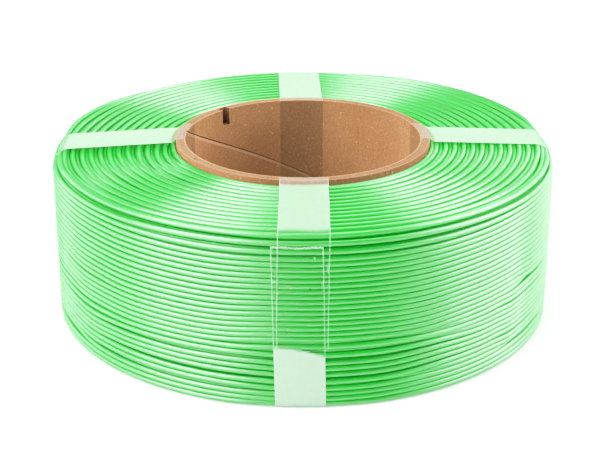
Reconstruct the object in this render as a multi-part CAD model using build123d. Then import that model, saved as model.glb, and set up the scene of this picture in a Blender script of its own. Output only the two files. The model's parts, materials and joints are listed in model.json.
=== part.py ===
"""A refill coil of 3D-printing filament, without a spool.

One strand of filament is wound on a spirally wound cardboard core, and four straps of clear film hold it.
Each strap runs up the core's bore, over the top, down the outside and back underneath, and its ends lap on
the outside. Millimetres. The axis is Z, the coil lies flat on Z = 0, and the front is -Y.
"""

from build123d import *
import math
import os

# Filament and winding
FILAMENT_DIAMETER = 1.75
TURN_PITCH = 1.85  # between neighbouring turns of a layer
TURNS_PER_LAYER = 32  # in the odd layers; the even ones lie in their valleys and have one turn fewer
LAYERS = 27
COIL_RADIUS = 87.5
CORNER_TURNS_MISSING = 1  # the outermost layer stops this many turns short of the top
CORE_TURN_INSET = 0.2  # the turns against the core lie almost level with the highest ones

# Cardboard core
CORE_RADIUS = 44.5
CORE_WALL = 3.25
PLIES = 7
CORE_STANDS_OUT = 1.0  # above the top turns
SEAM_PITCH = 125.0  # rise of a ply's spiral in one turn
SEAM_GAP = 0.3  # between the edges of a ply's strip
SEAM_TOP_ANGLE = 172.7  # where the liner's seam meets the top rim
SEAM_STAGGER = 100.0  # from one ply's seam to the next
NOTCH_ANGLE = 133.2
NOTCH_WIDTH = 3.4
NOTCH_DEPTH = 6.0

# Straps
FILM = 0.1  # film with its adhesive
STRAP_WIDTH = 16.0
BOTTOM_CORNER = 2.0  # how tightly the film turns the coil's lower outer corner
AIR = 0.02  # between the film and what it lies on
SIDE_ROOM = 0.2  # between the film's edges and the unpressed turns
LAP_BOTTOM = 20.1
LAP_TOP = 54.8
RIM_REACH = 1.0  # from the core's outside to where the film comes down on the turns
# Each strap's name, the point on the core that its middle crosses, the way it runs from there, and how
# tightly it turns the upper outer corner. The side straps were pulled tighter and rounded the corner more.
STRAPS = (
    ("strap_front", (0.3, -44.5), -90.0, 4.0),
    ("strap_right", (45.0, 5.2), -4.6, 6.0),
    ("strap_back", (-0.5, 44.5), 91.8, 4.0),
    ("strap_left", (-44.7, 4.4), 190.3, 6.0),
)

RING_SEAM_ANGLE = 45.0  # where the surfaces of the rings begin and end

# Worked out from the above
BEAD = FILAMENT_DIAMETER / 2
LAYER_STEP = (COIL_RADIUS - CORE_RADIUS - FILAMENT_DIAMETER) / (LAYERS - 1)
COIL_TOP = FILAMENT_DIAMETER + TURN_PITCH * (TURNS_PER_LAYER - 1)
BORE_RADIUS = CORE_RADIUS - CORE_WALL
PLY = CORE_WALL / PLIES
CORE_BOTTOM = FILM + AIR
CORE_TOP = COIL_TOP + CORE_STANDS_OUT
CORE_LENGTH = CORE_TOP - CORE_BOTTOM
PLY_NAMES = ["core_liner"] + [f"core_body_ply_{i}" for i in range(1, PLIES - 1)] + ["core_outer_wrap"]


def save(shape, name, color):
    """Write one named piece to its own file."""
    shape.label = name
    shape.color = color
    export_step(shape, f"parts/{name}.step")


def turned(section):
    """The ring that a section (radius, height) makes round the axis, with its seam clear of every strap."""
    return Rot(0, 0, RING_SEAM_ANGLE) * revolve(Plane.XZ * section, Axis.Z, 360)


def tube(inner, outer, bottom, top):
    """A plain round tube on the Z axis."""
    wall = Circle(outer) - Circle(inner)
    return Pos(0, 0, bottom) * extrude(wall, top - bottom)


# ---------------------------------------------------------------- filament


def layer_radius(layer):
    """The radius of a layer's strand, with layer 0 on the core."""
    return CORE_RADIUS + BEAD + LAYER_STEP * layer


def layer_inset(layer):
    """How far a layer's end turns lie inside the coil's faces: even layers nest half a turn lower."""
    if layer == 0:
        return CORE_TURN_INSET
    return 0.0 if layer % 2 else TURN_PITCH / 2


def end_row(layers, side):
    """The edges of the turns at an end face, side +1 at the top and -1 at the bottom, going inwards.

    High and low turns alternate. A high one shows half its round section, and a low one its crest.
    """
    middle = COIL_TOP / 2
    edges = []
    last = None
    for layer in layers:
        radius = layer_radius(layer)
        height = COIL_TOP / 2 - BEAD - layer_inset(layer)
        seen = LAYER_STEP - BEAD if layer_inset(layer) else BEAD
        seen_inwards = seen if layer else BEAD  # the innermost turn lies against the core
        drop = math.sqrt(BEAD**2 - seen**2)
        drop_inwards = math.sqrt(BEAD**2 - seen_inwards**2)
        start = (radius + seen, middle + side * (height + drop))
        crest = (radius, middle + side * (height + BEAD))
        finish = (radius - seen_inwards, middle + side * (height + drop_inwards))
        if last is not None:
            edges.append(Line(last, start))
        edges.append(ThreePointArc(start, crest, finish))
        last = finish
    return edges, last


def outer_column():
    """The edges of the outermost layer's turns, from the bottom up. Shallow valleys part the turns."""
    reach = math.radians(60)
    layer = LAYERS - 1
    radius = layer_radius(layer)
    turns = TURNS_PER_LAYER - 1 - CORNER_TURNS_MISSING
    edges = []
    last = None
    for turn in range(turns):
        height = BEAD + layer_inset(layer) + TURN_PITCH * turn
        start = (radius + BEAD * math.cos(reach), height - BEAD * math.sin(reach))
        crest = (radius + BEAD, height)
        finish = (radius + BEAD * math.cos(reach), height + BEAD * math.sin(reach))
        if last is not None:
            edges.append(Line(last, start))
        edges.append(ThreePointArc(start, crest, finish))
        last = finish
    return edges, last


def winding_ring():
    """The whole winding as one closed ring, with the turns that show on its three outer faces."""
    inwards = list(range(LAYERS - 2, -1, -1))
    top, top_inner = end_row(inwards, 1)
    bottom, bottom_inner = end_row(inwards, -1)
    column, column_top = outer_column()
    outline = column + top + bottom
    outline.append(Line(column_top, top[0] @ 0))
    outline.append(Line(bottom[0] @ 0, column[0] @ 0))
    outline.append(Line(top_inner, bottom_inner))
    section = Face(Wire(outline))
    return turned(section)


def pressed_ring(top_corner):
    """The winding as the straps press it: flat faces with rounded outer corners."""
    over_core = Pos(0, COIL_TOP / 2) * Rectangle(2 * CORE_RADIUS, 2 * COIL_TOP)
    ring = turned((strap_bed(top_corner, AIR) - over_core).face())
    return ring - tube(BORE_RADIUS, COIL_RADIUS, COIL_TOP - FILM - AIR, 2 * COIL_TOP)


def winding():
    """The winding, with its turns pressed flat under the straps."""
    shape = winding_ring()
    pressed_parts = []
    for _, foot, heading, top_corner in STRAPS:
        under_strap = slab(foot, heading, STRAP_WIDTH + 2 * SIDE_ROOM)
        shape -= under_strap
        pressed_parts.append(pressed_ring(top_corner) & under_strap)
    for part in pressed_parts:
        shape += part
    return shape


# ---------------------------------------------------------------- core


def seam_cutter(inner, top_angle):
    """A twisted blade through one ply, along the gap between the edges of its spiral strip."""
    overrun = 3.0
    rise = CORE_LENGTH + 2 * overrun
    slope = SEAM_PITCH / (2 * math.pi * inner)
    blade_width = SEAM_GAP / math.sin(math.atan(slope))
    blade = Pos(inner + PLY / 2, 0) * Rectangle(PLY + 0.1, blade_width)
    start_angle = top_angle - 360 * (CORE_LENGTH + overrun) / SEAM_PITCH
    twisted = Solid.extrude_linear_with_rotation(
        blade.face(), (0, 0, 0), (0, 0, rise), 360 * rise / SEAM_PITCH
    )
    return Pos(0, 0, CORE_BOTTOM - overrun) * Rot(0, 0, start_angle) * twisted


def core_ply(index):
    """One paper ply: a strip wound into a tube, its edges parted by a spiral seam.

    A notch is torn into its rim. Only the outermost ply is whole there.
    """
    inner = BORE_RADIUS + PLY * index
    ply = tube(inner, inner + PLY, CORE_BOTTOM, CORE_TOP)
    ply -= seam_cutter(inner, SEAM_TOP_ANGLE + SEAM_STAGGER * index)
    if index == PLIES - 1:
        return ply
    raggedness = 0.35 * math.sin(2.4 * index)  # each ply tore a little deeper or shallower
    depth = NOTCH_DEPTH + raggedness
    notch = Pos(inner, 0, CORE_TOP - depth / 2) * Box(4 * PLY, NOTCH_WIDTH + raggedness, depth)
    return ply - Rot(0, 0, NOTCH_ANGLE) * notch


# ---------------------------------------------------------------- straps


def strap_bed(top_corner, shrink=0.0):
    """The section (radius, height) that a strap closes round, made smaller by shrink on every side."""
    inner = BORE_RADIUS - AIR
    outer = COIL_RADIUS - 2 * FILM
    bottom = FILM
    turns_top = COIL_TOP - FILM
    core_top = CORE_TOP + AIR
    corners = [
        (inner, bottom),
        (outer, bottom),
        (outer, turns_top),
        (CORE_RADIUS + RIM_REACH, turns_top),
        (CORE_RADIUS + 2 * AIR, core_top),
        (inner, core_top),
    ]
    bed = make_face(Polyline(*corners, close=True))
    upper_corner = max(bed.vertices(), key=lambda v: v.X + v.Y)
    bed = fillet(upper_corner, top_corner)
    lower_corner = max(bed.vertices(), key=lambda v: v.X - v.Y)
    bed = fillet(lower_corner, BOTTOM_CORNER)
    return offset(bed, -shrink) if shrink else bed


def slab(foot, heading, width):
    """The upright slice of space that a strap lies in, on one side of the axis."""
    length = 2 * COIL_RADIUS
    height = 2 * CORE_LENGTH
    block = Box(length, width, height, align=(Align.MIN, Align.CENTER, Align.CENTER))
    back_off = 15.0  # the slice begins inside the bore
    placed = Rot(0, 0, heading) * Pos(-back_off, 0, COIL_TOP / 2) * block
    return Pos(foot[0], foot[1], 0) * placed


def film_loop(top_corner):
    """The film turned right round the axis: a strap is a slice of it."""
    bed = strap_bed(top_corner)
    film = offset(bed, FILM, kind=Kind.ARC) - bed
    lap_height = LAP_TOP - LAP_BOTTOM
    lap = Pos(COIL_RADIUS - FILM, (LAP_TOP + LAP_BOTTOM) / 2) * Rectangle(2 * FILM, lap_height)
    inside = Pos(COIL_RADIUS - 1.5 * FILM - 1, COIL_TOP / 2) * Rectangle(2, COIL_TOP)
    film = film + (lap - inside)
    return turned(film.face())


# ---------------------------------------------------------------- the coil


def main():
    os.makedirs("parts", exist_ok=True)
    green = Color(0.20, 0.80, 0.35)
    kraft = Color(0.66, 0.48, 0.34)
    clear = Color(0.85, 0.95, 0.90)

    for index, name in enumerate(PLY_NAMES):
        save(core_ply(index), name, kraft)

    for name, foot, heading, top_corner in STRAPS:
        save(film_loop(top_corner) & slab(foot, heading, STRAP_WIDTH), name, clear)
    save(winding(), "filament_winding", green)


main()
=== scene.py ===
"""Looks for the refill coil: real turns of silky filament, a kraft paper core and four clear film straps."""

import json
import math

import bpy
import numpy as np
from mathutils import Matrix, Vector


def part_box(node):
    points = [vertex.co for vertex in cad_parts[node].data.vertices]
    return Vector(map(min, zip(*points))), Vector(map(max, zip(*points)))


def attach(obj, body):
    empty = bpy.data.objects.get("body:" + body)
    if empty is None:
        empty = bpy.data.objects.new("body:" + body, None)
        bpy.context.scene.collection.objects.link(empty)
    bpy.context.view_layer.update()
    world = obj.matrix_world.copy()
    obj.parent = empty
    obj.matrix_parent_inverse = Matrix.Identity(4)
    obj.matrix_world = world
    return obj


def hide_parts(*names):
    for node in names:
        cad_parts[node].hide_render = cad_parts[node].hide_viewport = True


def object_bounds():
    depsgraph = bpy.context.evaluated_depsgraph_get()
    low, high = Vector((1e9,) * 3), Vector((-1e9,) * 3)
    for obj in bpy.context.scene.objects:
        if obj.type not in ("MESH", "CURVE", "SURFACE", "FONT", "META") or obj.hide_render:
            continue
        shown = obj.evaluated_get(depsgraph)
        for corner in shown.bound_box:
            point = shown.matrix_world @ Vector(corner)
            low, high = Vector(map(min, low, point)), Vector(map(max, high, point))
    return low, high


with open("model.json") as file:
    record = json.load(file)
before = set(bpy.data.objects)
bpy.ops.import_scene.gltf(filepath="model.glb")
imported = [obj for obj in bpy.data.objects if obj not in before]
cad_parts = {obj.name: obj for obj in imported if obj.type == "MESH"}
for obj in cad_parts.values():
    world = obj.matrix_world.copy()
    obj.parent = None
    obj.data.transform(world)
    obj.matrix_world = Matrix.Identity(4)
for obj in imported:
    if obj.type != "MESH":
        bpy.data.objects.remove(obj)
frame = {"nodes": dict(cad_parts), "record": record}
cad_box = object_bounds()

MM = 0.001
TURN = 2 * math.pi

# The winding, as in the CAD model. The frame gives its outside sizes.
STRAND = 1.75 * MM
BEAD = STRAND / 2
LAYERS = 27
TURN_PITCH = 1.85 * MM
TURN_COUNT = 32  # in an odd layer
COIL_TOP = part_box("filament_winding")[1][2]
COIL_RADIUS = cad_box[1][0]
CORE_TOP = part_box("core_outer_wrap")[1][2]
CORE_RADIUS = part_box("core_outer_wrap")[1][0]
BORE_RADIUS = frame["record"]["mounts"][0]["dims"]["r_mm"] * MM
LAYER_STEP = (COIL_RADIUS - CORE_RADIUS - STRAND) / (LAYERS - 1)
CORE_TURN_INSET = 0.2 * MM  # the turns against the core end almost level with the highest ones

# The straps, as in the CAD model
FILM = 0.1 * MM
AIR = 0.02 * MM
STRAP_WIDTH = 16 * MM
SIDE_CORNER = 6 * MM  # how tightly the left and right straps turn the upper outer corner
END_CORNER = 4 * MM  # and the front and back ones
BOTTOM_CORNER = 2 * MM
LAP_BOTTOM = 20.1 * MM
LAP_TOP = 54.8 * MM
RIM_REACH = 1.0 * MM
STRAPS = {
    "strap_front": ((0.3, -44.5), -90.0),
    "strap_right": ((45.0, 5.2), -4.6),
    "strap_back": ((-0.5, 44.5), 91.8),
    "strap_left": ((-44.7, 4.4), 190.3),
}


# ---------------------------------------------------------------- small helpers


def smooth(x):
    """0 below 0, 1 above 1, and a smooth rise between."""
    x = np.clip(x, 0.0, 1.0)
    return x * x * (3 - 2 * x)


def degrees_apart(angle, middle):
    """How far an angle is from another one, the shorter way round."""
    return np.abs((angle - middle + 180) % 360 - 180)


def window(angle, middle, half_width):
    """1 round an angle, falling smoothly to 0 at half_width from it. Degrees."""
    steepness = 1.5
    return smooth((1 - degrees_apart(angle, middle) / half_width) * steepness)


def wave(angle, seed, size, counts=(1, 2, 3, 5)):
    """A slow wander round the coil that closes on itself. angle is in degrees."""
    total = 0 * angle
    for i, n in enumerate(counts):
        phase = math.sin(seed * 12.9898 + i * 78.233) * 43758.5453
        total = total + np.sin(np.radians(n * angle) + phase) / (1 + 0.5 * i)
    return size * total / 2


def random_unit(seed):
    """A fixed number from 0 to 1 for each seed."""
    return (math.sin(seed * 127.1 + 311.7) * 43758.5453) % 1.0


def new_object(name, vertices, faces, material, smooth_faces=True):
    """A mesh object in the scene, with its one material."""
    mesh = bpy.data.meshes.new(name)
    mesh.from_pydata([tuple(v) for v in vertices], [], [tuple(int(i) for i in f) for f in faces])
    mesh.materials.append(material)
    mesh.polygons.foreach_set("use_smooth", [smooth_faces] * len(mesh.polygons))
    mesh.update()
    made = bpy.data.objects.new(name, mesh)
    bpy.context.scene.collection.objects.link(made)
    return made


def paint(obj, name, values):
    """Store one number per vertex, for a material to read."""
    layer = obj.data.attributes.new(name, "FLOAT", "POINT")
    layer.data.foreach_set("value", np.asarray(values, dtype=np.float32))


# ---------------------------------------------------------------- where the straps press

FREE_FROM = 26 * MM  # turns this far from a strap's middle aren't held by it
HOLD_FADES_OVER = 18 * MM


def strap_frame(name):
    """A strap's heading, its crosswise direction, and how far its middle plane is from the axis."""
    foot, heading = STRAPS[name]
    along = np.array([math.cos(math.radians(heading)), math.sin(math.radians(heading))])
    across = np.array([-along[1], along[0]])
    return along, across, float(np.array(foot) @ across) * MM


def strap_pressure(x, y):
    """How much a strap holds the turns at a place: 1 under its middle and 0 well away from it."""
    pressure = 0 * x
    for name in STRAPS:
        along, across, offset = strap_frame(name)
        ahead = x * along[0] + y * along[1]
        aside = np.abs(x * across[0] + y * across[1] - offset)
        reach = smooth((FREE_FROM - aside) / HOLD_FADES_OVER)
        pressure = np.maximum(pressure, np.where(ahead > 0, reach, 0))
    return pressure


def pressed(radius, height, x, y):
    """Move strand centres in to where the film lets them lie."""
    low = FILM + AIR + BEAD
    high = COIL_TOP - FILM - AIR - BEAD
    far = COIL_RADIUS - 2 * FILM - AIR - BEAD
    upper_corner = np.where(np.abs(x) > np.abs(y), SIDE_CORNER, END_CORNER)
    corner = np.where(height > COIL_TOP / 2, upper_corner, BOTTOM_CORNER) - BEAD
    inner_radius = np.minimum(radius, far - corner)
    inner_height = np.clip(height, low + corner, high - corner)
    dr = radius - inner_radius
    dz = height - inner_height
    away = np.maximum(np.hypot(dr, dz), 1e-9)
    shrink = np.minimum(corner / away, 1.0)
    pressure = strap_pressure(x, y)
    held = 1 + (shrink - 1) * pressure
    return inner_radius + dr * held, inner_height + dz * held


# ---------------------------------------------------------------- filament


def layer_radius(layer):
    """The radius of a layer's strand, with layer 0 on the core."""
    return CORE_RADIUS + BEAD + LAYER_STEP * layer


def layer_inset(layer):
    """How far a layer's end turns lie inside the coil's faces: even layers nest half a turn lower."""
    return 0.0 if layer % 2 else TURN_PITCH / 2


def tube(angle, radius, height, sides):
    """Vertices and faces of one strand along a path given round the axis (angle in radians)."""
    x = radius * np.cos(angle)
    y = radius * np.sin(angle)
    radius, height = pressed(radius, height, x, y)
    path = np.stack([radius * np.cos(angle), radius * np.sin(angle), height], axis=1)
    tangent = np.gradient(path, axis=0)
    tangent /= np.linalg.norm(tangent, axis=1)[:, None]
    outward = np.stack([np.cos(angle), np.sin(angle), 0 * angle], axis=1)
    outward -= (outward * tangent).sum(1)[:, None] * tangent
    outward /= np.linalg.norm(outward, axis=1)[:, None]
    upward = np.cross(outward, tangent)
    corners = np.arange(sides) / sides * TURN
    ring = outward[:, None, :] * np.cos(corners)[None, :, None]
    ring = ring + upward[:, None, :] * np.sin(corners)[None, :, None]
    vertices = (path[:, None, :] + BEAD * ring).reshape(-1, 3)
    start = np.arange(len(path) - 1)[:, None] * sides
    end = start + sides
    here = np.arange(sides)[None, :]
    following = (here + 1) % sides
    faces = np.stack([start + here, start + following, end + following, end + here], axis=2)
    faces = faces.reshape(-1, 4).tolist()
    last = (len(path) - 1) * sides
    faces.append(list(range(sides))[::-1])
    faces.append([last + i for i in range(sides)])
    return vertices, faces


def strand_object(name, strands, sides, material):
    """One object from several strand paths, each (angle, radius, height), with a slow change of tint."""
    vertices = []
    faces = []
    tints = []
    count = 0
    for index, (angle, radius, height) in enumerate(strands):
        strand_vertices, strand_faces = tube(angle, radius, height, sides)
        vertices.append(strand_vertices)
        faces += [[i + count for i in face] for face in strand_faces]
        count += len(strand_vertices)
        along = np.repeat(np.degrees(angle), sides)
        tints.append(wave(along, index + len(name), 0.5, counts=(0.5, 1, 2)))
    made = new_object(name, np.concatenate(vertices), faces, material)
    paint(made, "tint", np.concatenate(tints))
    return made


# The outermost layer, counted from its top turn down
SIDE_TURNS = 31
SIDE_TOP = 55.35 * MM  # the height of its top turn's middle
SIDE_BOTTOM = 1.2 * MM  # and of its bottom turn's
TOUCHING = 1.752 * MM  # from turn to turn where they lie close
# The strand that climbs out of the layer below and becomes the outermost layer's top turn
CORNER_TURN_HEIGHT = 57.8 * MM
CORNER_TURN_RADIUS = layer_radius(LAYERS - 2) + 0.15 * MM
STEP_OVER = 80.0  # degrees: the middle of the stretch at the back where each turn steps down to the next
STEP_WIDTH = 60.0
LOOSE_FROM = 12  # the turns from here down lie less evenly
SUNK_DEPTH = 1.25 * MM

# Turns that have sunk between their neighbours: which turn, from which angle to which, and over how many
# degrees it sinks and rises. Angles run round the axis from +X, and the front is at -90.
SUNK_TURNS = (
    (18, -188, -62, 22),
    (20, -196, -58, 24),
    (26, -182, -66, 20),
    (16, -33, 14, 10),
    (27, -40, 25, 10),
    (22, 55, 100, 12),
    (9, 98, 140, 12),
    (24, 118, 160, 12),
)
# Gaps between turns: under which turn, round which angle, how far each way, and how wide in millimetres.
SIDE_GAPS = (
    (0, -84, 64, 0.90),
    (1, -84, 60, 0.50),
    (12, -146, 14, 0.35),
    (16, -163, 20, 0.70),
    (17, -150, 24, 0.60),
    (17, -86, 28, 0.45),
    (18, -86, 26, 0.45),
    (18, -27, 24, 0.45),
    (16, -27, 16, 0.80),
    (19, -82, 24, 0.60),
    (20, -82, 24, 0.60),
    (19, -148, 18, 0.30),
    (20, -148, 18, 0.30),
    (21, -98, 56, 0.85),
    (22, -84, 40, 0.25),
    (23, -84, 40, 0.25),
    (24, -98, 54, 0.75),
    (24, -36, 12, 0.40),
    (25, -86, 26, 0.25),
    (26, -86, 24, 0.30),
    (26, -28, 16, 0.75),
    (27, -122, 34, 0.80),
    (28, -161, 20, 1.40),
    (28, -31, 10, 0.35),
    (5, 40, 30, 0.30),
    (14, 150, 30, 0.60),
    (19, 30, 40, 0.60),
)


def between(angle, start, end, ease):
    """1 from one angle to another and 0 elsewhere, changing over ease at both ends. Degrees."""
    away = degrees_apart(angle, (start + end) / 2)
    return smooth(((end - start) / 2 + ease / 2 - away) / ease)


def sunk(angle):
    """How far each outermost turn has sunk at each angle, from 0 to 1."""
    share = np.zeros((SIDE_TURNS, len(angle)))
    for turn, start, end, ease in SUNK_TURNS:
        share[turn] = np.maximum(share[turn], between(angle, start, end, ease))
    return share


def side_heights(angle):
    """The height of every outermost turn at each angle, in rows from the top turn down. Degrees."""
    share = sunk(angle)
    contact = TOUCHING * (1 - 0.5 * np.maximum(share[:-1], share[1:]))
    top = SIDE_TOP + wave(angle, 3, 0.12 * MM) + 0.4 * MM * window(angle, -84, 60)
    bottom = SIDE_BOTTOM + wave(angle, 5, 0.12 * MM)
    room = (top - bottom) - contact.sum(axis=0)
    gaps = np.zeros_like(contact)
    for turn, middle, half_width, width in SIDE_GAPS:
        gaps[turn] += width * MM * window(angle, middle, half_width)
    gaps *= np.minimum(1.0, 0.9 * room / np.maximum(gaps.sum(axis=0), 1e-6))
    weights = np.empty_like(contact)
    for turn in range(SIDE_TURNS - 1):
        loose = turn >= LOOSE_FROM
        uneven = wave(angle, turn, 0.30 if loose else 0.15)
        weights[turn] = np.maximum((0.5 if loose else 1.0) + uneven, 0.05)
    rest = room - gaps.sum(axis=0)
    spacing = contact + gaps + weights / weights.sum(axis=0) * rest
    return np.concatenate([top[None], top - np.cumsum(spacing, axis=0)])


def side_radii(angle):
    """The radius of every outermost turn at each angle."""
    radii = layer_radius(LAYERS - 1) - SUNK_DEPTH * sunk(angle)
    for turn in range(SIDE_TURNS):
        belly = math.sin(math.pi * turn / (SIDE_TURNS - 1))
        radii[turn] += wave(angle, turn + 40, 0.04 * MM) + 0.2 * MM * (belly - 0.7)
    return radii


def side_layer(steps):
    """The outermost layer and the corner turn that leads into it, as one unbroken strand."""
    degrees = STEP_OVER + STEP_WIDTH / 2 + np.arange(steps) / steps * 360
    turn_end = STEP_OVER + 360 - STEP_WIDTH / 2
    step = smooth((degrees - turn_end) / STEP_WIDTH)
    corner_heights = np.full((1, steps), CORNER_TURN_HEIGHT) + wave(degrees, 8, 0.06 * MM)
    heights = np.concatenate([corner_heights, side_heights(degrees)])
    corner_radii = np.full((1, steps), CORNER_TURN_RADIUS) + wave(degrees, 9, 0.10 * MM)
    radii = np.concatenate([corner_radii, side_radii(degrees)])
    heights = np.concatenate([heights, heights[-1:]])
    radii = np.concatenate([radii, radii[-1:]])
    turns = SIDE_TURNS + 1
    height = np.concatenate([heights[k] + (heights[k + 1] - heights[k]) * step for k in range(turns)])
    radius = np.concatenate([radii[k] + (radii[k + 1] - radii[k]) * step for k in range(turns)])
    angle = np.radians(np.concatenate([degrees + 360 * k for k in range(turns)]))
    # Both ends go in under their neighbours, over the last eighth of a turn.
    from_end = np.minimum(np.arange(len(angle)), np.arange(len(angle))[::-1]) / steps
    tucked = 1 - smooth(from_end * 8)
    height = height - np.sign(height - COIL_TOP / 2) * TURN_PITCH * tucked
    return angle, radius - LAYER_STEP * tucked, height


def second_layer(steps):
    """The next layer in, which shows in the wider gaps."""
    turns = TURN_COUNT - 2
    degrees = np.arange(steps * turns) / steps * 360
    height = COIL_TOP - BEAD - TURN_PITCH - degrees / 360 * TURN_PITCH
    radius = np.full(len(degrees), layer_radius(LAYERS - 2) - 0.1 * MM)
    return np.radians(degrees), radius, height


DISH = 0.5 * MM  # how much lower the top is at the core than at the outside

# Gaps between the turns of the top: at which radius in millimetres, round which angle, how far each way, and
# how wide in millimetres.
TOP_GAPS = (
    (78.7, -78, 24, 1.00),
    (79.3, -52, 18, 0.50),
    (80.5, -31, 18, 1.10),
    (82.6, -20, 13, 0.80),
    (85.9, -38, 30, 0.30),
    (53.6, -142, 17, 0.90),
    (50.2, -139, 13, 0.60),
    (57.3, -149, 11, 0.50),
    (80.5, -133, 13, 0.90),
    (82.3, -151, 10, 0.50),
    (86.1, -142, 16, 0.60),
    (66.3, -161, 10, 0.40),
    (69.7, -146, 14, 0.35),
    (52.7, 172, 16, 0.50),
    (82.0, 162, 14, 0.60),
    (60.5, 60, 25, 0.30),
    (72.0, 118, 20, 0.30),
)


def opened(radius, degrees):
    """Move strands aside from the gaps in the top."""
    push_fades_over = 3.5 * MM
    moved = radius
    for gap_radius, middle, half_width, width in TOP_GAPS:
        away = (radius - gap_radius * MM) / push_fades_over
        push = np.tanh(away * 6) * np.exp(-np.abs(away))
        moved = moved + 0.5 * width * MM * push * window(degrees, middle, half_width)
    return moved


def crossing_angle(layer, side):
    """Where a layer's last turn climbs out to the next layer, in degrees.

    At the top that is by the left strap, and at the bottom it wanders over the back.
    """
    if side < 0:
        return 95 + 11 * (layer % 7)
    if layer < 8 or layer > 17:
        return -168 + 9 * random_unit(layer)
    return 186 + 3 * random_unit(layer)


def dish(radius):
    """How far the top sinks towards the core."""
    return DISH * (COIL_RADIUS - radius) / (COIL_RADIUS - CORE_RADIUS)


def end_turns(layer, side, steps):
    """The last turns of a layer at an end face, the climb onto the next layer and that layer's first turns.

    side is 1 at the top and -1 at the bottom. depth is measured from the end face.
    """
    seed = layer + 40 * side
    lean = 26.0  # degrees that the strand takes to move over to the next turn or layer
    crossing = crossing_angle(layer, side)
    degrees = crossing + np.arange(steps * 4) / steps * 360
    turn = (degrees - crossing) / 360
    rise = smooth((turn - 1) * 360 / lean)
    climb = smooth((turn - 2) * 360 / lean + 1)
    fall = smooth((turn - 3) * 360 / lean + 2)
    depth = layer_inset(layer) + TURN_PITCH * (1 - rise)
    depth = depth + (layer_inset(layer + 1) - layer_inset(layer)) * climb + TURN_PITCH * fall
    depth = depth + np.maximum(wave(degrees, seed + 20, 0.08 * MM, counts=(1, 2, 3)) + 0.05 * MM, 0.01 * MM)
    radius = layer_radius(layer) + LAYER_STEP * climb + wave(degrees, seed, 0.08 * MM, counts=(1, 2, 4))
    if side > 0:
        depth = depth + dish(radius)
        radius = opened(radius, degrees)
    height = COIL_TOP / 2 + side * (COIL_TOP / 2 - BEAD - depth)
    return np.radians(degrees), radius, height


def first_turns(steps):
    """The top turns of the innermost layer, against the core."""
    start = 20
    second_turn = start + 360
    degrees = start + np.arange(steps * 2) / steps * 360
    sunk_by = CORE_TURN_INSET + DISH
    height = COIL_TOP - BEAD - sunk_by - TURN_PITCH * smooth((degrees - second_turn) / 360)
    return np.radians(degrees), np.full(len(degrees), layer_radius(0)), height


def heart(material):
    """The layers that nothing shows of, as one plain ring that closes the gaps between the turns."""
    inner = CORE_RADIUS + 0.3 * MM
    outer = layer_radius(LAYERS - 2) - 0.45 * BEAD
    depth = 2.9 * MM  # from the coil's end faces
    low = depth
    high = COIL_TOP - depth
    section = [(inner, low), (outer, low), (outer, high), (inner, high)]
    steps = 120
    vertices = []
    faces = []
    for i in range(steps):
        turned = i / steps * TURN
        vertices += [(r * math.cos(turned), r * math.sin(turned), z) for r, z in section]
        a = 4 * i
        b = 4 * ((i + 1) % steps)
        faces += [(a + k, b + k, b + (k + 1) % 4, a + (k + 1) % 4) for k in range(4)]
    return new_object("filament_inner_layers", vertices, faces, material, smooth_faces=False)


def build_filament(material):
    """The winding: every turn that shows, over the plain ring inside."""
    top = [end_turns(layer, 1, 150) for layer in range(1, LAYERS - 2, 2)]
    top.append(first_turns(150))
    bottom = [end_turns(layer, -1, 120) for layer in range(0, LAYERS - 2, 2)]
    pieces = [
        strand_object("filament_outer_layer", [side_layer(180)], 10, material),
        strand_object("filament_second_layer", [second_layer(120)], 8, material),
        strand_object("filament_top_turns", top, 9, material),
        strand_object("filament_bottom_turns", bottom, 8, material),
        heart(material),
    ]
    for piece in pieces:
        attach(piece, "root")
        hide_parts("filament_winding")


# ---------------------------------------------------------------- film

# How white the film looks: 1 where it bridges the turns with air beneath, and 0 where it is stuck down
STUCK_MILK = 0.01
BORE_MILK = 0.02
RIM_MILK = 0.35
LOWER_MILK = 0.96  # added below the lap
EDGE_HAZE = 0.95  # the cut edges of the film catch the light

# The saw-toothed cut at the film's outer end
TOOTH_WIDTH = 1.15 * MM
TOOTH_DEPTH = 0.55 * MM
TOOTH_ROWS = 3  # mesh rows that the teeth reach back over


def arc(middle, radius, start, end, steps):
    """Points of an arc in the (radius, height) plane, with angles in degrees."""
    turn = np.radians(np.linspace(start, end, steps))
    return [(middle[0] + radius * math.cos(t), middle[1] + radius * math.sin(t)) for t in turn]


def strap_route(top_corner):
    """The film's middle line (radius, height), from its inner end over the top and through the bore."""
    half = FILM / 2
    side = COIL_RADIUS - 1.5 * FILM
    lapped = COIL_RADIUS - half
    top = COIL_TOP - half
    bottom = half
    bore = BORE_RADIUS - AIR - half
    over = CORE_TOP + AIR + half
    bend = top_corner + half
    low_bend = BOTTOM_CORNER + half
    edge = 0.35 * MM
    points = [(side, LAP_BOTTOM), (side, COIL_TOP / 2)]
    points += arc((side - bend, top - bend), bend, 0, 90, 12)
    points += [(CORE_RADIUS + RIM_REACH + 0.3 * MM, top)]
    points += arc((CORE_RADIUS + 0.1 * MM, over - edge), edge, 60, 90, 4)
    points += arc((bore + edge, over - edge), edge, 90, 180, 6)
    points += arc((bore + edge, bottom + edge), edge, 180, 270, 6)
    points += arc((side - low_bend, bottom + low_bend), low_bend, -90, 0, 8)
    points += [(side, LAP_BOTTOM - 3 * MM), (lapped, LAP_BOTTOM + 0.5 * MM), (lapped, LAP_TOP)]
    return np.array(points)


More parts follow.
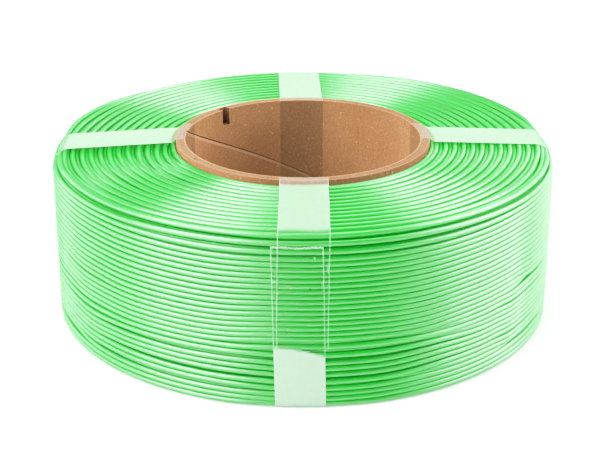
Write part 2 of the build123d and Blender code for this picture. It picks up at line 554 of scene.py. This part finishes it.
def resampled(points, spacing):
    """Points at an even spacing along a line, with how far along each one is."""
    lengths = np.concatenate([[0], np.cumsum(np.linalg.norm(np.diff(points, axis=0), axis=1))])
    along = np.linspace(0, lengths[-1], int(lengths[-1] / spacing) + 1)
    line = np.stack([np.interp(along, lengths, points[:, k]) for k in range(2)], axis=1)
    return line, along


def saw_teeth(v, seed):
    """How far the cut end stands out at each place v across the film."""
    saw = np.abs((v / TOOTH_WIDTH) % 1.0 - 0.5) * 2
    ragged = 0.15 * MM * np.sin(v / STRAP_WIDTH * 9 + seed)
    return TOOTH_DEPTH * saw + ragged


def on_rim(radius, height):
    """Whether the film lies on the core's rim there, or comes down from it to the turns."""
    return height > COIL_TOP - 1 * MM and radius < CORE_RADIUS + RIM_REACH + 0.3 * MM


def milkiness(radius, height, share, side, top_milk):
    """How white the film looks at a place along it and at each place across it.

    side is the place across the strip, from -0.5 to 0.5. top_milk is how white it is over the top turns.
    """
    if radius < BORE_RADIUS + 0.3 * MM:
        return BORE_MILK + 0 * side
    if on_rim(radius, height):
        return RIM_MILK + 0 * side
    if height > COIL_TOP - 3 * MM:
        wavy = 0.3 * MM * np.sin(side * 7)
        clear_edge = smooth((COIL_RADIUS - radius - 1.5 * MM + wavy) / (4.5 * MM))
        return STUCK_MILK + top_milk * clear_edge
    # Where the two ends lap they lie close. Below them and underneath, the single film bridges the turns.
    curve = LAP_BOTTOM + 1.5 * MM - 3.0 * MM * (side + 0.5) ** 2
    return STUCK_MILK + LOWER_MILK * smooth((curve - height) / (0.8 * MM)) * (1 if share > 0.5 else 0)


def thin_solid_faces(rows, columns):
    """The faces that join two grids of points, the second listed after the first, into one closed solid."""
    width = columns + 1
    back = rows * width
    faces = []
    for i in range(rows - 1):
        for k in range(columns):
            a = i * width + k
            b = back + a
            faces.append((a, a + 1, a + width + 1, a + width))
            faces.append((b, b + width, b + width + 1, b + 1))
        a = i * width
        faces.append((a, a + width, back + a + width, back + a))
        a = i * width + columns
        faces.append((a, back + a, back + a + width, a + width))
    for k in range(columns):
        faces.append((k, back + k, back + k + 1, k + 1))
        a = (rows - 1) * width + k
        faces.append((a, a + 1, back + a + 1, back + a))
    return faces


def film_strip(name, drift, top_milk, material):
    """A strap: a closed thin solid, with a saw-toothed cut at its outer end.

    drift gives how far the strip's middle wanders sideways at its start and its end, and top_milk how white
    it looks over the top turns.
    """
    heading, across, offset = strap_frame(name)
    top_corner = SIDE_CORNER if abs(heading[0]) > 0.5 else END_CORNER
    line, along = resampled(strap_route(top_corner), 0.7 * MM)
    rows = len(line)
    columns = 48
    v = np.linspace(-0.5, 0.5, columns + 1) * STRAP_WIDTH
    normal = np.gradient(line, axis=0)
    normal = np.stack([normal[:, 1], -normal[:, 0]], axis=1)
    normal /= np.linalg.norm(normal, axis=1)[:, None]
    share = along / along[-1]
    wander = drift[0] * smooth(1 - share * 4) + drift[1] * np.clip((share - 0.57) / 0.43, 0, 1)
    teeth = saw_teeth(v, len(name))
    vertices = []
    milk = []
    in_bore = []
    over_rim = []
    for layer in (-0.5, 0.5):
        for i, (radius, height) in enumerate(line):
            toothed = max(i - rows + TOOTH_ROWS + 1, 0) / TOOTH_ROWS
            side = v + wander[i]
            r = radius + normal[i, 0] * FILM * layer * 0.9
            z = height + normal[i, 1] * FILM * layer * 0.9 + teeth * toothed
            plane = offset + side
            ahead = np.sqrt(np.maximum(r * r - plane * plane, 0))
            x = ahead * heading[0] + plane * across[0]
            y = ahead * heading[1] + plane * across[1]
            vertices += list(zip(x, y, z))
            haze = milkiness(radius, height, share[i], v / STRAP_WIDTH, top_milk)
            at_wall = radius < BORE_RADIUS
            if not at_wall:
                haze[[0, -1]] = np.maximum(haze[[0, -1]], EDGE_HAZE)
            if i == rows - 1:
                haze = np.maximum(haze, EDGE_HAZE)
            milk += list(1 - np.sqrt(1 - haze))  # the film has two surfaces
            in_bore += [1.0 if at_wall else 0.0] * len(v)
            over_rim += [1.0 if on_rim(radius, height) else 0.0] * len(v)
    made = new_object(name + "_film", vertices, thin_solid_faces(rows, columns), material)
    paint(made, "milk", milk)
    paint(made, "in_bore", in_bore)
    paint(made, "rim", over_rim)
    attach(made, "root")
    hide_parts(name)


def build_straps(material):
    """The four straps, each with its own sideways drift and its own haze over the top turns."""
    drift_and_milk = {
        "strap_front": ((-0.5 * MM, -2.2 * MM), 0.63),
        "strap_right": ((0.5 * MM, 0.9 * MM), 0.74),
        "strap_back": ((-0.4 * MM, 1.2 * MM), 0.78),
        "strap_left": ((0.6 * MM, -0.8 * MM), 0.74),
    }
    for name, (drift, top_milk) in drift_and_milk.items():
        film_strip(name, drift, top_milk, material)


# ---------------------------------------------------------------- materials


class Nodes:
    """A material's node tree, with short calls to add nodes and join them."""

    def __init__(self, name):
        self.material = bpy.data.materials.new(name)
        self.material.use_nodes = True
        self.tree = self.material.node_tree
        self.shader = self.tree.nodes["Principled BSDF"]
        self.output = self.tree.nodes["Material Output"]

    def add(self, kind, **values):
        node = self.tree.nodes.new(kind)
        for key, value in values.items():
            setattr(node, key, value)
        return node

    def link(self, a, b):
        self.tree.links.new(a, b)

    def set(self, **values):
        """Values for the shader's own sockets."""
        for key, value in values.items():
            self.shader.inputs[key.replace("_", " ")].default_value = value

    def place(self):
        """Where a point lies on the object, in metres."""
        return self.add("ShaderNodeTexCoord").outputs["Object"]

    def noise(self, scale, detail=3.0, stretch=(1, 1, 1), roughness=0.5):
        mapping = self.add("ShaderNodeMapping")
        mapping.inputs["Scale"].default_value = stretch
        self.link(self.place(), mapping.inputs["Vector"])
        noise = self.add("ShaderNodeTexNoise")
        noise.inputs["Scale"].default_value = scale
        noise.inputs["Detail"].default_value = detail
        noise.inputs["Roughness"].default_value = roughness
        self.link(mapping.outputs["Vector"], noise.inputs["Vector"])
        return noise.outputs["Fac"]

    def ramp(self, factor, *stops):
        """Colours along a factor. stops are (position, colour)."""
        node = self.add("ShaderNodeValToRGB")
        ramp = node.color_ramp
        while len(ramp.elements) < len(stops):
            ramp.elements.new(0.5)
        for element, (position, colour) in zip(ramp.elements, stops):
            element.position = position
            element.color = (*colour, 1)
        self.link(factor, node.inputs["Fac"])
        return node.outputs["Color"]

    def mix(self, factor, a, b):
        """Colour a turning into colour b as the factor goes from 0 to 1. Each may be a colour or a socket."""
        node = self.add("ShaderNodeMix", data_type="RGBA")
        self.link(factor, node.inputs["Factor"])
        for colour, socket in ((a, node.inputs[6]), (b, node.inputs[7])):
            if isinstance(colour, tuple):
                socket.default_value = (*colour, 1)
            else:
                self.link(colour, socket)
        return node.outputs[2]

    def maths(self, operation, a, b=0.0, c=0.0):
        """One step of arithmetic on numbers or sockets."""
        node = self.add("ShaderNodeMath", operation=operation)
        for value, socket in zip((a, b, c), node.inputs):
            if isinstance(value, (int, float)):
                socket.default_value = value
            else:
                self.link(value, socket)
        return node.outputs[0]

    def attribute(self, name):
        """The number that paint() stored under this name."""
        return self.add("ShaderNodeAttribute", attribute_name=name).outputs["Fac"]

    def bump(self, height, distance):
        node = self.add("ShaderNodeBump")
        node.inputs["Distance"].default_value = distance
        node.inputs["Strength"].default_value = 1.0
        self.link(height, node.inputs["Height"])
        self.link(node.outputs["Normal"], self.shader.inputs["Normal"])


def silk_filament():
    """Bright green filament with a silky sheen that stretches across each strand, and a faint green glow that
    is painted light in the shaded gaps between turns.
    """
    n = Nodes("silk_green_filament")
    tint = n.maths("ADD", n.attribute("tint"), 0.5)
    cloud = n.noise(14, detail=2)
    shade = n.maths("ADD", n.maths("MULTIPLY", tint, 0.6), n.maths("MULTIPLY", cloud, 0.4))
    colour = n.ramp(shade, (0.2, (0.001, 0.275, 0.012)), (0.8, (0.002, 0.35, 0.023)))
    n.link(colour, n.shader.inputs["Base Color"])
    streaks = n.noise(2600, detail=2)
    n.link(n.ramp(streaks, (0.3, (0.35,) * 3), (0.7, (0.45,) * 3)), n.shader.inputs["Roughness"])
    n.set(IOR=1.95, Specular_IOR_Level=1.0, Anisotropic=0.8, Anisotropic_Rotation=0.25)
    # The faint green glow is painted light: it brightens the shaded crevices between the turns, standing in
    # for light that passes through the strands.
    n.set(Specular_Tint=(0.90, 1.0, 0.92, 1), Emission_Color=(0.0, 1.0, 0.04, 1), Emission_Strength=0.12)
    n.set(Subsurface_Weight=1.0, Subsurface_Radius=(0.15, 1.0, 0.25), Subsurface_Scale=1.8 * MM)
    round_the_axis = n.add("ShaderNodeTangent", direction_type="RADIAL", axis="Z")
    n.link(round_the_axis.outputs["Tangent"], n.shader.inputs["Tangent"])
    n.bump(streaks, 0.004 * MM)
    return n.material


SEAM_PITCH = 125 * MM  # rise of the liner's seam in one turn
SEAM_TOP_ANGLE = 172.7


def seam_band(n):
    """1 in the pale band that runs just under the liner's spiral seam, and 0 elsewhere."""
    position = n.add("ShaderNodeSeparateXYZ")
    n.link(n.place(), position.inputs[0])
    turns = n.maths("DIVIDE", n.maths("ARCTAN2", position.outputs[1], position.outputs[0]), TURN)
    behind = n.maths("FRACT", n.maths("SUBTRACT", SEAM_TOP_ANGLE / 360 + 1, turns))
    seam_height = n.maths("SUBTRACT", CORE_TOP, n.maths("MULTIPLY", behind, SEAM_PITCH))
    under = n.maths("SUBTRACT", seam_height, position.outputs[2])
    inside = n.maths("COMPARE", under, 0.75 * MM, 0.6 * MM)
    return n.maths("MULTIPLY", inside, 0.35)


def kraft(name, light, dark, has_seam=False):
    """Uncoated brown board: a fine mottled grain with pale and dark flecks."""
    n = Nodes(name)
    cloud = n.noise(45, detail=4)
    grain = n.noise(1500, detail=6, roughness=0.7)
    base = n.ramp(cloud, (0.3, dark), (0.7, light))
    grained = n.mix(n.ramp(grain, (0.42, (0, 0, 0)), (0.75, (0.28,) * 3)), base, (0.70, 0.48, 0.31))
    pale_flecks = n.ramp(n.noise(1100, detail=1), (0.70, (0, 0, 0)), (0.75, (0.45,) * 3))
    dark_flecks = n.ramp(n.noise(900, detail=2), (0.70, (0, 0, 0)), (0.76, (0.5,) * 3))
    colour = n.mix(pale_flecks, grained, (0.75, 0.52, 0.36))
    colour = n.mix(dark_flecks, colour, (0.13, 0.06, 0.03))
    if has_seam:
        colour = n.mix(seam_band(n), colour, (0.62, 0.44, 0.30))
    n.link(colour, n.shader.inputs["Base Color"])
    n.set(Roughness=0.9, Specular_IOR_Level=0.2)
    n.bump(grain, 0.04 * MM)
    return n.material


def clear_film():
    """Clear adhesive film: see-through where it sticks, whitish where air lies under it."""
    n = Nodes("clear_film")
    milk = n.attribute("milk")
    wrinkles = n.noise(700, detail=3, stretch=(1, 1, 0.5))
    uneven = n.maths("ADD", 1.0, n.maths("MULTIPLY", n.maths("SUBTRACT", wrinkles, 0.5), 0.15))
    scratches = n.ramp(n.noise(650, detail=1, stretch=(1, 1, 0.4)), (0.68, (0, 0, 0)), (0.73, (0.25,) * 3))
    on_turns = n.maths("SUBTRACT", 1.0, n.maths("MAXIMUM", n.attribute("in_bore"), n.attribute("rim")))
    haze = n.maths("MAXIMUM", n.maths("MULTIPLY", milk, uneven), n.maths("MULTIPLY", scratches, on_turns))
    n.link(n.mix(n.attribute("rim"), (0.45, 0.69, 0.47), (0.56, 0.46, 0.40)), n.shader.inputs["Base Color"])
    n.set(Roughness=0.35, Specular_IOR_Level=0.4)
    n.bump(wrinkles, 0.006 * MM)
    clear = n.add("ShaderNodeBsdfTransparent")
    n.link(n.mix(n.attribute("in_bore"), (1.0, 1.0, 1.0), (0.93, 0.93, 0.93)), clear.inputs["Color"])
    body = n.add("ShaderNodeMixShader")
    n.link(n.maths("MINIMUM", haze, 1.0), body.inputs["Fac"])
    n.link(clear.outputs[0], body.inputs[1])
    n.link(n.shader.outputs[0], body.inputs[2])
    n.link(body.outputs[0], n.output.inputs["Surface"])
    return n.material


def plain_floor():
    """Pale and matt, with a little light of its own so that it stays near white."""
    n = Nodes("studio_floor")
    n.set(Base_Color=(0.69, 0.69, 0.69, 1), Roughness=0.8, Specular_IOR_Level=0.2)
    n.set(Emission_Color=(1, 1, 1, 1), Emission_Strength=0.25)
    return n.material


def give(node_name, material):
    """Put a material on a CAD piece, whose shape stays as it is."""
    for material_slot in frame["nodes"][node_name].material_slots:
        material_slot.material = material


def finish_core():
    """Kraft paper on the core's plies."""
    wall = kraft("kraft_bore_wall", (0.36, 0.215, 0.108), (0.29, 0.163, 0.08), has_seam=True)
    edge = kraft("kraft_ply_edge", (0.21, 0.126, 0.076), (0.165, 0.094, 0.054))
    give("core_liner", wall)
    for i in range(1, 6):
        give(f"core_body_ply_{i}", edge)
    give("core_outer_wrap", kraft("kraft_outer_wrap", (0.36, 0.165, 0.10), (0.29, 0.128, 0.076)))


# ---------------------------------------------------------------- studio


def softbox(name, angle, elevation, distance, width, height, brightness):
    """A soft light facing the coil. The camera stands at an angle of -90. brightness is its radiance."""
    data = bpy.data.lights.new(name, "AREA")
    data.shape = "RECTANGLE"
    data.size = width
    data.size_y = height
    data.energy = brightness * math.pi * width * height
    lamp = bpy.data.objects.new(name, data)
    out = distance * math.cos(math.radians(elevation))
    up = distance * math.sin(math.radians(elevation))
    lamp.location = (out * math.cos(math.radians(angle)), out * math.sin(math.radians(angle)), up)
    aim(lamp, (0, 0, 0.03))
    bpy.context.scene.collection.objects.link(lamp)


def aim(obj, target):
    """Turn a light or the camera towards a point."""
    direction = Vector(target) - obj.location
    obj.rotation_euler = direction.to_track_quat("-Z", "Y").to_euler()


# How the picture's brightness answers the light: the brightest parts are held back, as a camera does.
FULL_WHITE = 1.3
TONE_CURVE = ((0.1, 0.075), (0.3, 0.29), (0.6, 0.64), (0.9, 0.81), (1.1, 0.91))


def tone_curve(view):
    """Set the picture's contrast."""
    view.view_transform = "Standard"
    view.use_curve_mapping = True
    view.curve_mapping.white_level = (FULL_WHITE,) * 3
    points = view.curve_mapping.curves[3].points
    for light, shown in TONE_CURVE:
        points.new(light / FULL_WHITE, shown)
    view.curve_mapping.update()


# Each light's name, angle and elevation in degrees, distance, width and height in metres, and brightness
LIGHTS = (
    ("softbox_left", -139, 38, 1.1, 0.90, 1.0, 5.2),
    ("softbox_right", -2, 34, 1.1, 0.90, 1.0, 5.4),
    ("softbox_high_left", -168, 60, 1.1, 0.55, 0.6, 6.5),
    ("softbox_high_right", 22, 50, 1.1, 0.45, 0.6, 4.0),
    ("panel_left", 168, 12, 1.2, 1.6, 0.7, 3.4),
    ("panel_right", 36, 12, 1.2, 1.4, 0.7, 2.8),
    ("panel_back", 90, 26, 1.3, 1.8, 0.6, 1.2),
    ("softbox_top", 74, 68, 1.1, 0.5, 0.55, 4.8),
)


def studio():
    """A pale floor under soft lights."""
    scene = bpy.context.scene
    tone_curve(scene.view_settings)
    world = bpy.data.worlds.new("studio")
    world.use_nodes = True
    world.node_tree.nodes["Background"].inputs["Color"].default_value = (1, 1, 1, 1)
    world.node_tree.nodes["Background"].inputs["Strength"].default_value = 0.13
    scene.world = world
    half = 4.0
    floor = new_object(
        "floor",
        [(-half, -half, 0), (half, -half, 0), (half, half, 0), (-half, half, 0)],
        [(0, 1, 2, 3)],
        plain_floor(),
    )
    for light in LIGHTS:
        softbox(*light)


def camera():
    """The camera in front of the coil, looking down at it."""
    distance = 0.5457
    elevation = math.radians(22.4)
    aim_height = 0.0263
    sideways = -0.00097
    data = bpy.data.cameras.new("camera")
    data.lens = 91.0
    data.sensor_width = 36.0
    data.clip_start = 0.01
    eye = bpy.data.objects.new("camera", data)
    eye.location = (sideways, -distance * math.cos(elevation), aim_height + distance * math.sin(elevation))
    aim(eye, (sideways, 0, aim_height))
    bpy.context.scene.collection.objects.link(eye)
    bpy.context.scene.camera = eye


camera()
build_filament(silk_filament())
build_straps(clear_film())
finish_core()
studio()

bpy.context.view_layer.update()
